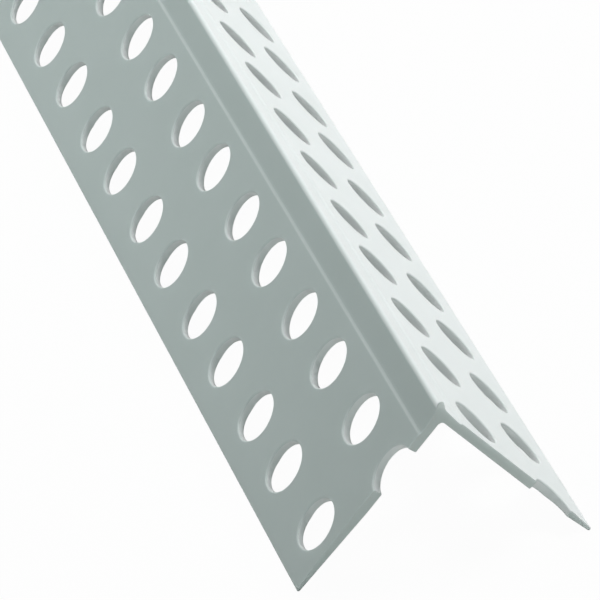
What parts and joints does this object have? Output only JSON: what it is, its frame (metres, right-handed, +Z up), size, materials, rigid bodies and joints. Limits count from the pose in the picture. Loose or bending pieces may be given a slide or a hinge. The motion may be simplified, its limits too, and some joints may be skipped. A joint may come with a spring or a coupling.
{
  "type": "drywall corner bead",
  "caption": "Perforated L-shaped corner bead with a raised rounded nose, for protecting and straightening an outside drywall corner.",
  "frame": {"origin": "on the floor, below the ridge and midway along the strip", "axes": "+Z up, +Y along the ridge from the near end in the picture to the far end, +X to the right flange"},
  "size_m": [0.0318, 2.5, 0.0193],
  "materials": {
    "rigid_pvc": "white rigid PVC with a slight cool cast, extruded to a soft sheen"
  },
  "bodies": {
    "root": {"bead": "rigid_pvc"}
  },
  "joints": []
}
